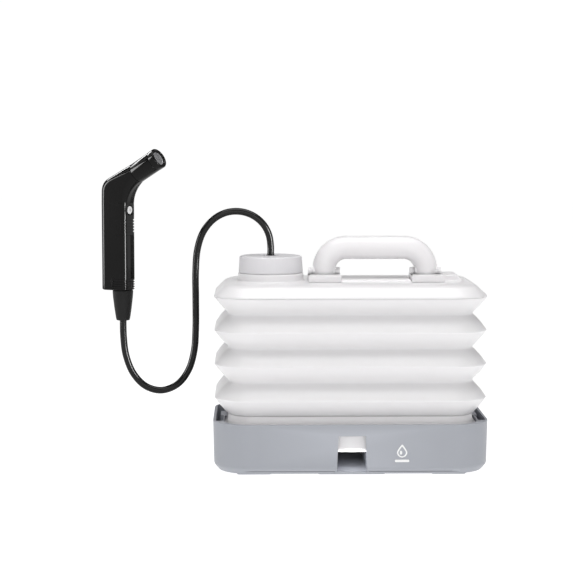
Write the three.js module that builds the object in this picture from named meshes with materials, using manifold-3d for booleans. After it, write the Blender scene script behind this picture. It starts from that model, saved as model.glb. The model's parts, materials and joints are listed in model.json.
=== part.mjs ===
// Collapsible water tank in a tray, with a battery hand shower on a hose.
// Millimetres, +Z up. The origin is the centre of the tray's underside, and the front faces -Y.
import * as THREE from 'three';
import { mergeVertices } from 'three/addons/utils/BufferGeometryUtils.js';
import Module from 'manifold-3d';

const wasm = await Module();
wasm.setup();

// ---------------------------------------------------------------- driving dimensions
const GAP = 0.3;                   // between pieces that touch
const CORNER_STEPS = 6;            // steps round one corner of a plan outline

const TRAY = { halfX: 165, halfY: 95, radius: 46, height: 61, floor: 1.3, skin: 3, fillet: 8 };
const FOOT = { halfX: 40, sideIn: 95, sideOut: 136, halfY: 84 };
const WINDOW = { halfTop: 16, halfBottom: 18, top: 47.5, bottom: 5 };
const STOW = { halfX: 18, back: 66, top: 26, wall: 2 };
const RIB = { at: [-110, -65, 65, 110], halfWidth: 1, halfY: 70 };
const POCKET = { inner: 152.6, outer: 161.6, halfY: 62, bottom: 14 };
const SEAT = { clearance: 0.6, radius: 33 };

const TANK = { flangeX: 150.8, flangeY: 91, panBottom: 27, flangeTop: 58, wall: 2 };
const PLEAT = { ridgeX: 163.4, ridgeY: 93.4, inset: 17.5, pitch: 40.4, firstValley: 68.1, count: 3.5 };
const DECK = 224.5;
const PAD = { low: 227.3, high: 232.4, farLow: 138, farHigh: 131, legClearance: 20.2 };
const NECK = { x: -95.2, collarR: 40, rootR: 33.5, boreR: 29.5, collarTop: 234, top: 249.8 };
const THREAD = { pitch: 5, depth: 1.9, halfWidth: 0.85, turns: 2 };
const CAP = { bottom: 234.3, top: 254.6, rBottom: 39.4, rTop: 38.3, innerR: 36.2, roof: 3 };
const GLAND = {
  r: 5.7, flangeR: 9, boreR: 1.4, top: 255.2, socketBottom: 246.5, flangeBottom: 243.3, bottom: 238,
};
const HOSE = { d: 8.4, bore: 4.6 };
const STRAINER = { bottom: 29.2, top: 46, rLow: 11, rHigh: 7, spigotTop: 55 };

const HANDLE = { x: 31.9, span: 124.4, tube: 28.4, top: 278.4, bend: 27, pivotZ: 234.5, tongueTop: 246.5 };
const BRACKET = {
  halfX: 19.5, front: -40, back: 12, slotHalfX: 14.8, slotFront: -15.5, earAt: 17.1, earHalf: 2.3, earR: 7,
};
const PIN = { r: 3, half: 18.2 };

const GUN = {
  x: -280.9, yaw: -30, bottom: 213, halfL: 18, halfW: 13, wall: 2, edge: 6.5, straightTop: 316, bendR: 32,
};
const HEAD = { tilt: 30, faceX: 60.5, faceZ: 374, r: 12.5, seamBack: 37.5, wall: 2 };
const BUTTON = { z: 310.4, r: 5.9 };
const INSERT = { back: 6.5, bottom: 280, top: 319 };
const END = { back: -1.5, top: 227 };
const RELIEF = { x: 6.4, bottom: 176, rTop: 12.6, rBottom: 8.2 };
const SOCKET = { back: -15, front: -11.5, halfY: 4.4 };
const CELL = { x: -6, r: 9, bottom: 232, top: 281 };
const MOTOR = { x: -6, r: 8.8, bottom: 286, top: 310 };
const PUMP = { x: -6, r: 9.6, bottom: 311, top: 325 };
const CLIP = {
  halfY: 16, inner: 153.2, thick: 3.2, pivotX: 157.2, pivotZ: 22, top: 60.4, nose: 4.4, footR: 3.6,
};
const CLIP_PIN = { r: 1.5, half: 19.3 };
const SCREW = { r: 1.3, headR: 2.3, bossR: 2.6 };

// ---------------------------------------------------------------- colours
const GREY = { color: 0xaeb2ba, roughness: 0.5, metalness: 0 };
const WHITE = { color: 0xeeedf0, roughness: 0.35, metalness: 0 };
const CAP_GREY = { color: 0xd6d5d8, roughness: 0.45, metalness: 0 };
const BLACK = { color: 0x161616, roughness: 0.25, metalness: 0 };
const RUBBER = { color: 0x202020, roughness: 0.8, metalness: 0 };
const STEEL = { color: 0xb9bcc0, roughness: 0.3, metalness: 1 };
const MESH_GREY = { color: 0x9a9a9c, roughness: 0.4, metalness: 0.6 };
const BOARD_GREEN = { color: 0x1f6b45, roughness: 0.6, metalness: 0 };
const CELL_BLUE = { color: 0x2f6fb5, roughness: 0.5, metalness: 0 };
const SILICONE = { color: 0xd9dde0, roughness: 0.5, metalness: 0 };

// ---------------------------------------------------------------- solids and booleans
function solid(geometry) {
  const g = geometry.clone();
  g.deleteAttribute('normal');
  g.deleteAttribute('uv');
  const m = mergeVertices(g, 1e-4);
  const mesh = new wasm.Mesh({
    numProp: 3,
    vertProperties: new Float32Array(m.attributes.position.array),
    triVerts: new Uint32Array(m.index.array),
  });
  return new wasm.Manifold(mesh);
}

function toGeometry(manifold) {
  const mesh = manifold.getMesh();
  const g = new THREE.BufferGeometry();
  g.setAttribute('position', new THREE.BufferAttribute(mesh.vertProperties, 3));
  g.setIndex(new THREE.BufferAttribute(mesh.triVerts, 1));
  g.computeVertexNormals();
  return g;
}

const join = (...list) => list.reduce((a, b) => a.add(b));
const cut = (a, ...list) => list.reduce((s, b) => s.subtract(b), a);

const group = new THREE.Group();
const gun = new THREE.Group();
gun.position.set(GUN.x, 0, 0);
gun.rotation.z = THREE.MathUtils.degToRad(GUN.yaw);
group.add(gun);

function add(name, shape, look, parent = group) {
  const mesh = new THREE.Mesh(toGeometry(shape), new THREE.MeshStandardMaterial(look));
  mesh.name = name;
  parent.add(mesh);
}

// Box given by its low and high corners.
function box(x0, y0, z0, x1, y1, z1) {
  const g = new THREE.BoxGeometry(x1 - x0, y1 - y0, z1 - z0);
  g.translate((x0 + x1) / 2, (y0 + y1) / 2, (z0 + z1) / 2);
  return solid(g);
}

// Cylinder or cone with its axis along 'x', 'y' or 'z', from one end to the other.
function rod(axis, centre, from, to, r0, r1 = r0, sides = 24) {
  const g = new THREE.CylinderGeometry(r1, r0, to - from, sides);
  if (axis === 'z') g.rotateX(Math.PI / 2);
  if (axis === 'x') g.rotateZ(-Math.PI / 2);
  const mid = (from + to) / 2;
  const place = { x: [mid, ...centre], y: [centre[0], mid, centre[1]], z: [...centre, mid] }[axis];
  g.translate(...place);
  return solid(g);
}

// Ring or cup turned about a vertical line through (x, y), from a closed profile of [r, z].
function turned(x, y, profile, sides = 32) {
  const points = [...profile, profile[0]].map(([r, z]) => new THREE.Vector2(r, z));
  const g = new THREE.LatheGeometry(points, sides);
  g.rotateX(Math.PI / 2);
  g.translate(x, y, 0);
  return outward(g);
}

// Turns a geometry's faces round if its volume comes out negative.
function outward(g) {
  const flat = g.index ? g.toNonIndexed() : g;
  const p = flat.attributes.position;
  const [a, b, c] = [new THREE.Vector3(), new THREE.Vector3(), new THREE.Vector3()];
  let volume = 0;
  for (let i = 0; i < p.count; i += 3) {
    a.fromBufferAttribute(p, i);
    b.fromBufferAttribute(p, i + 1);
    c.fromBufferAttribute(p, i + 2);
    volume += a.dot(b.cross(c));
  }
  if (volume < 0) {
    for (let i = 0; i < p.count; i += 3) {
      a.fromBufferAttribute(p, i + 1);
      b.fromBufferAttribute(p, i + 2);
      p.setXYZ(i + 1, b.x, b.y, b.z);
      p.setXYZ(i + 2, a.x, a.y, a.z);
    }
  }
  return solid(flat);
}

// Plan outline of a rounded rectangle, as [x, y] points, anticlockwise.
function plan(halfX, halfY, radius, steps = CORNER_STEPS) {
  const points = [];
  for (let corner = 0; corner < 4; corner++) {
    const sx = corner === 0 || corner === 3 ? 1 : -1;
    const sy = corner < 2 ? 1 : -1;
    for (let i = 0; i <= steps; i++) {
      const angle = (corner + i / steps) * Math.PI / 2;
      points.push([
        sx * (halfX - radius) + radius * Math.cos(angle),
        sy * (halfY - radius) + radius * Math.sin(angle),
      ]);
    }
  }
  return points;
}

// Solid skinned through rings of 3D points with equal counts. A ring list that closes on itself
// makes a shell that is open at both ends; otherwise the first and last rings are capped.
function skinned(rings, closesOnItself = false) {
  const n = rings[0].length;
  const vertices = rings.flat();
  const index = [];
  const spans = closesOnItself ? rings.length : rings.length - 1;
  for (let k = 0; k < spans; k++) {
    const low = k * n;
    const high = ((k + 1) % rings.length) * n;
    for (let i = 0; i < n; i++) {
      const j = (i + 1) % n;
      index.push(low + i, low + j, high + j, low + i, high + j, high + i);
    }
  }
  if (!closesOnItself) {
    const last = (rings.length - 1) * n;
    for (let i = 1; i < n - 1; i++) {
      index.push(0, i + 1, i);
      index.push(last, last + i, last + i + 1);
    }
  }
  const g = new THREE.BufferGeometry();
  g.setAttribute('position', new THREE.Float32BufferAttribute(vertices.flatMap((v) => [v.x, v.y, v.z]), 3));
  g.setIndex(index);
  return outward(g);
}

// Rings of a rounded rectangle at heights, each level being [inset, z].
function levels(halfX, halfY, radius, list) {
  return list.map(([inset, z]) => plan(halfX - inset, halfY - inset, Math.max(radius - inset, 2))
    .map(([x, y]) => new THREE.Vector3(x, y, z)));
}

// Vertical prism over a list of [x, y] points.
function prism(points, z0, z1) {
  const shape = new THREE.Shape(points.map(([x, y]) => new THREE.Vector2(x, y)));
  const g = new THREE.ExtrudeGeometry(shape, { depth: z1 - z0, bevelEnabled: false });
  g.translate(0, 0, z0);
  return solid(g);
}

// Prism along Y over an [x, z] outline.
function prismY(points, y0, y1) {
  const shape = new THREE.Shape(points.map(([x, z]) => new THREE.Vector2(x, z)));
  const g = new THREE.ExtrudeGeometry(shape, { depth: y1 - y0, bevelEnabled: false });
  g.rotateX(Math.PI / 2);
  g.translate(0, y1, 0);
  return outward(g);
}

// Round tube or bar along a path of points.
function tube(points, radius, steps, sides = 8, bore = 0) {
  const path = new THREE.CatmullRomCurve3(points.map((p) => new THREE.Vector3(...p)), false, 'centripetal');
  const ring = (r) => Array.from({ length: sides }, (_, i) => {
    const angle = (i / sides) * 2 * Math.PI;
    return new THREE.Vector2(r * Math.cos(angle), r * Math.sin(angle));
  });
  const shape = new THREE.Shape(ring(radius));
  if (bore > 0) shape.holes.push(new THREE.Path(ring(bore)));
  const g = new THREE.ExtrudeGeometry(shape, { steps, bevelEnabled: false, extrudePath: path });
  return outward(g);
}

// Helical ridge for a screw thread. A positive side grows outwards from r, a negative side inwards.
function thread(x, r, side, zStart, turns) {
  const perTurn = 20;
  const root = r - side * 0.6;
  const crest = r + side * THREAD.depth;
  const rings = [];
  for (let i = 0; i <= perTurn * turns; i++) {
    const angle = (i / perTurn) * 2 * Math.PI;
    const z = zStart + THREAD.pitch * i / perTurn;
    const [c, s] = [Math.cos(angle), Math.sin(angle)];
    const at = (radius, dz) => new THREE.Vector3(x + radius * c, radius * s, z + dz);
    const w = THREAD.halfWidth;
    rings.push([at(root, -w), at(crest, -w / 2), at(crest, w / 2), at(root, w)]);
  }
  return skinned(rings);
}

// ---------------------------------------------------------------- tray
const ascending = (a, b) => (a < b ? [a, b] : [b, a]);

// Rod along the pin axis of the snap clip on side s.
const clipRod = (s, half, r, sides = 12) => rod(
  'y', [s * CLIP.pivotX, CLIP.pivotZ], -half, half, r, r, sides);

function baseTray() {
  const f = TRAY.fillet;
  const outer = skinned(levels(TRAY.halfX, TRAY.halfY, TRAY.radius, [
    [f, TRAY.floor],
    [f * 0.45, TRAY.floor + f * 0.16],
    [f * 0.14 + 1.2, TRAY.floor + f * 0.5],
    [1.2, TRAY.floor + f],
    [0, TRAY.height - 1.2],
    [0.8, TRAY.height],
  ]));
  const seatX = TANK.flangeX + SEAT.clearance;
  const seatY = TANK.flangeY + SEAT.clearance;
  const well = skinned(levels(seatX, seatY, SEAT.radius, [
    [1, TRAY.floor + TRAY.skin],
    [0, TRAY.height + 1],
  ]));
  const runners = [[-FOOT.halfX, FOOT.halfX], [FOOT.sideIn, FOOT.sideOut], [-FOOT.sideOut, -FOOT.sideIn]]
    .map(([x0, x1]) => box(x0, -FOOT.halfY, 0, x1, FOOT.halfY, TRAY.floor + 1));
  const windowCut = prismY([
    [-WINDOW.halfBottom, WINDOW.bottom],
    [WINDOW.halfBottom, WINDOW.bottom],
    [WINDOW.halfTop, WINDOW.top],
    [-WINDOW.halfTop, WINDOW.top],
  ], -TRAY.halfY - 2, -TRAY.halfY + 6);
  // Stowage pocket under the tank, with its side walls and back wall, and the ribs that carry the pan.
  const floorTop = TRAY.floor + TRAY.skin - 0.5;
  const wallFar = STOW.halfX + STOW.wall;
  const sideWall = (s) => {
    const [x0, x1] = ascending(s * STOW.halfX, s * wallFar);
    return box(x0, -TRAY.halfY + 4, floorTop, x1, STOW.back, STOW.top);
  };
  const backWall = box(-wallFar, STOW.back, floorTop, wallFar, STOW.back + STOW.wall, STOW.top);
  const ribs = RIB.at.map((x) => box(
    x - RIB.halfWidth, -RIB.halfY, floorTop, x + RIB.halfWidth, RIB.halfY, STOW.top));
  const sides = [-1, 1].map((s) => {
    const [x0, x1] = ascending(s * POCKET.inner, s * POCKET.outer);
    const outline = plan((x1 - x0) / 2, POCKET.halfY, 3.5, 3).map(([x, y]) => [x + (x0 + x1) / 2, y]);
    const pocket = prism(outline, POCKET.bottom, TRAY.height + 1);
    const [w0, w1] = ascending(s * 148, s * 156);
    const noseWay = box(w0, -CLIP.halfY - 1, POCKET.bottom, w1, CLIP.halfY + 1, TRAY.height + 1);
    return join(pocket, noseWay);
  });
  // Ears in each side pocket that carry the clip's pin.
  const ears = [-1, 1].flatMap((s) => [-1, 1].map((e) => {
    const [x0, x1] = ascending(s * 152, s * (POCKET.outer + 0.5));
    const [y0, y1] = ascending(e * (CLIP.halfY + 0.5), e * (CLIP.halfY + 4));
    return box(x0, y0, POCKET.bottom - 0.5, x1, y1, CLIP.pivotZ + 4);
  }));
  const pinHoles = [-1, 1].map((s) => clipRod(s, CLIP_PIN.half + GAP, CLIP_PIN.r + GAP));
  const shell = cut(outer, well, windowCut, ...sides);
  return cut(join(shell, ...runners, sideWall(-1), sideWall(1), backWall, ...ribs, ...ears), ...pinHoles);
}
add('base_tray', baseTray(), GREY);

// Snap clips hook over the tank's flange, and turn outwards on a pin in the side pocket.
for (const [side, s] of [['left', -1], ['right', 1]]) {
  const outside = CLIP.inner + CLIP.thick;
  const noseTip = CLIP.inner - CLIP.nose;
  const noseLow = TANK.flangeTop + 0.9;
  const plate = [
    [CLIP.inner, CLIP.pivotZ + 3],
    [CLIP.inner, noseLow],
    [noseTip, noseLow],
    [noseTip, noseLow + 0.6],
    [CLIP.inner - 1, CLIP.top],
    [outside, CLIP.top],
    [outside, CLIP.pivotZ + 3],
  ].map(([x, z]) => [s * x, z]);
  const foot = clipRod(s, CLIP.halfY, CLIP.footR, 20);
  const [n0, n1] = ascending(s * CLIP.inner, s * (outside + 2));
  const neck = box(n0, -CLIP.halfY, CLIP.pivotZ, n1, CLIP.halfY, CLIP.pivotZ + 3.5);
  const hole = clipRod(s, CLIP.halfY + 1, CLIP_PIN.r + GAP);
  add(`side_clip_${side}`, cut(join(prismY(plate, -CLIP.halfY, CLIP.halfY), neck, foot), hole), GREY);
  add(`clip_pin_${side}`, clipRod(s, CLIP_PIN.half, CLIP_PIN.r), STEEL);
}

// ---------------------------------------------------------------- tank
// Pan: a hollow tray-shaped bottom with a flange, open at the top where the bellows starts.
function tankBase() {
  const w = TANK.wall;
  const zTop = PLEAT.firstValley - 0.15;
  const neckX = PLEAT.ridgeX - PLEAT.inset;
  const neckY = PLEAT.ridgeY - PLEAT.inset;
  const rings = [
    [TANK.flangeX - 9, TANK.flangeY - 9, 26, TANK.panBottom - 0.5],
    [TANK.flangeX - 5, TANK.flangeY - 5, 29, TANK.panBottom + 3],
    [TANK.flangeX - 4, TANK.flangeY - 4, 29, TANK.flangeTop - 5],
    [TANK.flangeX, TANK.flangeY, 32, TANK.flangeTop - 4],
    [TANK.flangeX, TANK.flangeY, 32, TANK.flangeTop - 0.6],
    [TANK.flangeX - 0.6, TANK.flangeY - 0.6, 31.4, TANK.flangeTop],
    [neckX + 2.2, neckY + 2.6, 29, TANK.flangeTop + 0.6],
    [neckX, neckY, 27.5, zTop],
    [neckX - w, neckY - w, 25.5, zTop],
    [neckX - 0.8, neckY - 0.4, 26, TANK.flangeTop - 3],
    [TANK.flangeX - 4 - w, TANK.flangeY - 4 - w, 27, TANK.flangeTop - 6],
    [TANK.flangeX - 5 - 1.8 * w, TANK.flangeY - 5 - 1.8 * w, 25, TANK.panBottom + 4],
    [TANK.flangeX - 9 - w, TANK.flangeY - 9 - w, 24, TANK.panBottom - 0.5 + w],
  ];
  return skinned(rings.map(([x, y, r, z]) => plan(x, y, r).map(([px, py]) => new THREE.Vector3(px, py, z))));
}
add('tank_base', tankBase(), WHITE);

// Bellows: sharp ridges and valleys between the pan and the shoulder, open at both ends.
const BELLOWS_TOP = PLEAT.firstValley + PLEAT.count * PLEAT.pitch;
function bellows() {
  const outer = [];
  const inner = [];
  const half = PLEAT.pitch / 2;
  for (let k = 0; k <= 2 * PLEAT.count; k++) {
    const z = PLEAT.firstValley + k * half;
    const isRidge = k % 2 === 1;
    const inset = isRidge ? 0 : PLEAT.inset;
    const flat = isRidge ? 0.8 : 1.2;
    const atBottom = k === 0;
    const atTop = k === 2 * PLEAT.count;
    if (!atBottom) outer.push([inset, z - (atTop ? 0.2 : flat)]);
    if (!atTop) outer.push([inset, z + (atBottom ? 0.15 : flat)]);
    const end = atBottom ? 0.15 : 0;
    inner.push([inset + 2.4, z + end - (atTop ? 0.2 : 0)]);
  }
  return skinned(levels(PLEAT.ridgeX, PLEAT.ridgeY, 45, [...outer, ...inner.reverse()]), true);
}
add('tank_bellows', bellows(), WHITE);

// X places of the handle's two legs.
const LEGS = [-1, 1].map((s) => HANDLE.x + s * HANDLE.span / 2);

// Top: shoulder, deck with raised pads, and the threaded neck.
function tankTop() {
  const z0 = BELLOWS_TOP + 0.1;
  const shellRings = levels(PLEAT.ridgeX, PLEAT.ridgeY, 45, [
    [0, z0],
    [0, z0 + 1.4],
    [9.2, z0 + 9.6],
    [13, z0 + 13],
    [18, DECK],
  ]);
  const innerRings = levels(PLEAT.ridgeX, PLEAT.ridgeY, 45, [
    [2.4, z0 - 1],
    [2.4, z0 + 0.6],
    [14, z0 + 11.5],
    [19, DECK - TANK.wall],
  ]);
  const shell = cut(skinned(shellRings), skinned(innerRings));
  const collar = rod('z', [NECK.x, 0], DECK - 1, NECK.collarTop, NECK.collarR + 0.6, NECK.collarR - 0.6, 32);
  const stem = rod('z', [NECK.x, 0], DECK - 1, NECK.top, NECK.rootR, NECK.rootR, 32);
  const threads = thread(NECK.x, NECK.rootR, 1, 237.6, THREAD.turns);
  const bore = rod('z', [NECK.x, 0], DECK - 4, NECK.top + 1, NECK.boreR, NECK.boreR, 32);
  const middle = box(LEGS[0] + PAD.legClearance, -31, DECK - 0.5, LEGS[1] - PAD.legClearance, 37, PAD.low);
  const padStart = LEGS[1] + PAD.legClearance;
  const rightPad = prismY([
    [padStart, DECK - 0.5],
    [PAD.farLow, DECK - 0.5],
    [PAD.farHigh, PAD.high],
    [padStart, PAD.high],
  ], -22, 30);
  return cut(join(shell, collar, stem, threads, middle, rightPad), bore);
}
add('tank_top', tankTop(), WHITE);

// ---------------------------------------------------------------- handle
const pivotRod = (x, half, r, sides = 16) => rod('x', [0, HANDLE.pivotZ], x - half, x + half, r, r, sides);

function handle() {
  const r = HANDLE.tube / 2;
  const barZ = HANDLE.top - r;
  const point = (x, z) => new THREE.Vector3(x, 0, z);
  const [left, right] = LEGS;
  const path = new THREE.CurvePath();
  path.add(new THREE.LineCurve3(point(left, HANDLE.tongueTop), point(left, barZ - HANDLE.bend)));
  path.add(new THREE.QuadraticBezierCurve3(
    point(left, barZ - HANDLE.bend), point(left, barZ), point(left + HANDLE.bend, barZ)));
  path.add(new THREE.LineCurve3(point(left + HANDLE.bend, barZ), point(right - HANDLE.bend, barZ)));
  path.add(new THREE.QuadraticBezierCurve3(
    point(right - HANDLE.bend, barZ), point(right, barZ), point(right, barZ - HANDLE.bend)));
  path.add(new THREE.LineCurve3(point(right, barZ - HANDLE.bend), point(right, HANDLE.tongueTop)));
  const sides = 12;
  const shape = new THREE.Shape(Array.from({ length: sides }, (_, i) => {
    const angle = (i / sides) * 2 * Math.PI;
    return new THREE.Vector2(r * Math.cos(angle), r * Math.sin(angle));
  }));
  const bow = outward(new THREE.ExtrudeGeometry(shape, {
    steps: 24, bevelEnabled: false, extrudePath: path,
  }));
  const tongues = LEGS.flatMap((x) => [
    pivotRod(x, 14, 9, 24),
    box(x - 14, -9, HANDLE.pivotZ, x + 14, 9, HANDLE.tongueTop + 4),
  ]);
  const holes = LEGS.map((x) => pivotRod(x, 16, PIN.r + GAP));
  return cut(join(bow, ...tongues), ...holes);
}
add('handle', handle(), WHITE);

// A bracket on each side: a block with a slot for the tongue, and two ears for the pin.
for (const [i, side] of ['left', 'right'].entries()) {
  const x = LEGS[i];
  const block = box(x - BRACKET.halfX, BRACKET.front, DECK + GAP, x + BRACKET.halfX, BRACKET.back, PAD.high);
  const slot = box(x - BRACKET.slotHalfX, BRACKET.slotFront, DECK - 1,
    x + BRACKET.slotHalfX, BRACKET.back + 1, PAD.high + 2);
  const ears = [-1, 1].flatMap((s) => {
    const at = x + s * BRACKET.earAt;
    return [
      pivotRod(at, BRACKET.earHalf, BRACKET.earR, 20),
      box(at - BRACKET.earHalf, -BRACKET.earR, 231, at + BRACKET.earHalf, BRACKET.earR, HANDLE.pivotZ),
    ];
  });
  const bore = pivotRod(x, PIN.half + 0.4, PIN.r + GAP);
  add(`handle_bracket_${side}`, cut(join(cut(block, slot), ...ears), bore), WHITE);
  add(`handle_pin_${side}`, pivotRod(x, PIN.half, PIN.r), STEEL);
}

// ---------------------------------------------------------------- cap, gland and suction line
const CAP_ROOF = CAP.top - CAP.roof;

function screwCap() {
  const hole = GLAND.r + GAP;
  const body = turned(NECK.x, 0, [
    [hole, CAP_ROOF],
    [CAP.innerR, CAP_ROOF],
    [CAP.innerR, CAP.bottom],
    [CAP.rBottom, CAP.bottom],
    [CAP.rTop, CAP.top - 1.6],
    [CAP.rTop - 1.6, CAP.top],
    [hole, CAP.top],
  ], 36);
  return join(body, thread(NECK.x, CAP.innerR, -1, 240.1, THREAD.turns * 0.7));
}
add('screw_cap', screwCap(), CAP_GREY);
add('cap_gasket', turned(NECK.x, 0, [
  [NECK.boreR + 0.5, NECK.top + GAP],
  [NECK.rootR, NECK.top + GAP],
  [NECK.rootR, CAP_ROOF - GAP],
  [NECK.boreR + 0.5, CAP_ROOF - GAP],
], 32), RUBBER);

// The gland sits under the cap's roof, takes the delivery hose above and the suction hose below.
const SPIGOT_R = HOSE.bore / 2 - GAP;
add('hose_gland', turned(NECK.x, 0, [
  [GLAND.boreR, GLAND.bottom],
  [SPIGOT_R, GLAND.bottom],
  [SPIGOT_R, GLAND.flangeBottom],
  [GLAND.flangeR, GLAND.flangeBottom],
  [GLAND.flangeR, CAP_ROOF - GAP],
  [GLAND.r, CAP_ROOF - GAP],
  [GLAND.r, GLAND.top],
  [HOSE.d / 2 + GAP, GLAND.top],
  [HOSE.d / 2 + GAP, GLAND.socketBottom],
  [GLAND.boreR, GLAND.socketBottom],
], 20), BLACK);

add('suction_hose', turned(NECK.x, 0, [
  [HOSE.bore / 2, STRAINER.top + GAP],
  [HOSE.d / 2, STRAINER.top + GAP],
  [HOSE.d / 2, GLAND.flangeBottom - GAP],
  [HOSE.bore / 2, GLAND.flangeBottom - GAP],
], 10), SILICONE);
add('intake_strainer', turned(NECK.x, 0, [
  [0, STRAINER.bottom],
  [STRAINER.rLow, STRAINER.bottom],
  [STRAINER.rLow, STRAINER.top - 4],
  [STRAINER.rHigh, STRAINER.top],
  [SPIGOT_R, STRAINER.top],
  [SPIGOT_R, STRAINER.spigotTop],
  [0, STRAINER.spigotTop],
], 16), BLACK);

// ---------------------------------------------------------------- delivery hose
// The route rises out of the cap, bows over to the left, hangs in a loop and climbs to the hand shower.
const ROUTE = [
  [-95.2, 0, 247], [-95.2, 0, 256], [-95.3, 0, 267], [-97.5, 0, 280], [-104.5, 0, 293], [-117, 0, 303.3],
  [-133, 0, 308.2], [-150, 0, 306.6], [-165.5, 0, 298], [-177.5, 0, 283], [-184.5, 0, 262], [-186.8, 0, 235],
  [-186.8, 0, 200], [-187, 0, 165], [-189, 0, 138], [-196, 0, 114], [-209.5, 0, 96.5], [-229, -0.6, 89],
  [-248, -1.4, 94], [-263, -2.2, 109.5], [-272, -2.9, 132], [-275, -3.2, 156], [-275.2, -3.2, 190],
  [-275.2, -3.2, 219.5],
];
add('hose', tube(ROUTE, HOSE.d / 2, 36, 8), BLACK);

// ---------------------------------------------------------------- hand shower, in its own turned group
// Local +X points the way the nozzle faces, +Y is the left side, +Z is up.
const tilt = THREE.MathUtils.degToRad(HEAD.tilt);
const along = new THREE.Vector3(Math.cos(tilt), 0, Math.sin(tilt));
const across = new THREE.Vector3(-Math.sin(tilt), 0, Math.cos(tilt));
const FACE = new THREE.Vector3(HEAD.faceX, 0, HEAD.faceZ);
const onAxis = (back, lift = 0) => FACE.clone().addScaledVector(along, -back).addScaledVector(across, lift);

// Section between a front point and a back point in the side view, rounded from a box to a round tube.
function section(front, back, halfW, roundness, inset) {
  const mid = front.clone().add(back).multiplyScalar(0.5);
  const reach = front.clone().sub(back);
  const halfL = reach.length() / 2 - inset;
  const dir = reach.normalize();
  const w = halfW - inset;
  const r = THREE.MathUtils.lerp(GUN.edge - inset * 0.6, Math.min(halfL, w) - 0.01, roundness);
  return plan(halfL, w, r, 4).map(([x, y]) => new THREE.Vector3(
    mid.x + dir.x * x, y, mid.z + dir.z * x));
}

// The grip's back in the side view: up, round the corner, and along the head's top line to the seam.
function backPath() {
  const low = new THREE.Vector3(-GUN.halfL, 0, 333);
  const tip = new THREE.Vector3(-GUN.halfL, 0, 343.5);
  const high = new THREE.Vector3(-GUN.halfL + 9, 0, 348.7);
  const path = new THREE.CurvePath();
  path.add(new THREE.LineCurve3(new THREE.Vector3(-GUN.halfL, 0, GUN.straightTop), low));
  path.add(new THREE.QuadraticBezierCurve3(low, tip, high));
  path.add(new THREE.LineCurve3(high, onAxis(HEAD.seamBack, HEAD.r)));
  return path;
}

// Rings of the grip from its bottom to the seam where the head tube starts.
function gripRings(inset) {
  const levelRing = (z, pull = 0) => section(
    new THREE.Vector3(GUN.halfL - pull, 0, z), new THREE.Vector3(-GUN.halfL + pull, 0, z),
    GUN.halfW - pull, 0, inset);
  const rings = inset === 0 ? [levelRing(GUN.bottom, 1.6), levelRing(GUN.bottom + 0.8, 0.4)] : [];
  rings.push(levelRing(GUN.bottom + 2), levelRing(GUN.straightTop));
  const seamFront = onAxis(HEAD.seamBack, -HEAD.r);
  const back = backPath();
  const turns = 9;
  for (let i = 1; i <= turns; i++) {
    const t = i / turns;
    const angle = Math.PI - t * (Math.PI / 2 - tilt);
    const onArc = new THREE.Vector3(GUN.halfL + GUN.bendR * (1 + Math.cos(angle)), 0,
      GUN.straightTop + 1 + GUN.bendR * Math.sin(angle));
    const front = onArc.lerp(seamFront, t * t * t);
    rings.push(section(front, back.getPointAt(t), THREE.MathUtils.lerp(GUN.halfW, HEAD.r, t), t * t, inset));
  }
  return rings;
}

const gripOuter = skinned(gripRings(0));
const throughSeam = [HEAD.seamBack + 4, HEAD.seamBack - 4].map((back) => onAxis(back).toArray());
const gripInner = join(skinned(gripRings(GUN.wall)), tube(throughSeam, HEAD.r - GUN.wall, 1, 24));

// Button housing and ribbed end cap are let into the shells, with the gap all round them.
const housingSpace = (gap) => box(INSERT.back - gap, -20, INSERT.bottom - gap, 30, 20, INSERT.top + gap);
const endSpace = (gap) => box(END.back - gap, -20, GUN.bottom - 1, 30, 20, END.top + gap);
const socketCut = box(SOCKET.back - 0.5, -5, GUN.bottom - 1, SOCKET.front + 0.5, 5, GUN.bottom + 9);

// Screw bosses span the grip, and each screw holds the two shells together.
const BOSSES = [[-13, 227.5], [12.4, 262], [-12.4, 333.5]];
const atBosses = (y0, y1, r) => BOSSES.map((place) => rod('y', place, y0, y1, r, r, 12));
const shell = cut(
  join(cut(gripOuter, gripInner), ...atBosses(-GUN.halfW + 1.5, GUN.halfW - 1.5, SCREW.bossR)),
  housingSpace(GAP), endSpace(GAP), socketCut,
  ...atBosses(-9.3, GUN.halfW + 1, SCREW.r + GAP),
  ...atBosses(GUN.halfW - 2.2, GUN.halfW + 1, SCREW.headR + GAP));
const leftHalf = box(-40, GAP / 2, 200, 80, 20, 400);
const rightHalf = box(-40, -20, 200, 80, -GAP / 2, 400);
add('gun_shell_left', shell.intersect(leftHalf), BLACK, gun);
add('gun_shell_right', shell.intersect(rightHalf), BLACK, gun);
BOSSES.forEach((place, i) => {
  const shank = rod('y', place, -9, 11, SCREW.r, SCREW.r, 10);
  const head = rod('y', place, 10.9, 12.4, SCREW.headR, SCREW.headR, 12);
  add(`shell_screw_${i + 1}`, join(shank, head), STEEL, gun);
});

// Grooves that wrap round the grip's front and part of its sides.
function ribbed(piece, zFirst, count, pitch, x0) {
  const core = plan(GUN.halfL - 0.7, GUN.halfW - 0.7, 6, 4);
  const grooves = Array.from({ length: count }, (_, i) => {
    const z = zFirst + i * pitch;
    return cut(box(x0, -20, z, 30, 20, z + 0.9), prism(core, z - 1, z + 2));
  });
  return cut(piece, ...grooves);
}
const buttonRod = (x0, x1, r, sides = 20) => rod('x', [0, BUTTON.z], x0, x1, r, r, sides);
const housing = cut(gripOuter.intersect(housingSpace(0)), gripInner, buttonRod(10, 30, BUTTON.r + 0.5, 24));
add('button_housing', ribbed(housing, 284.5, 4, 4.2, 12), BLACK, gun);

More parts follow.
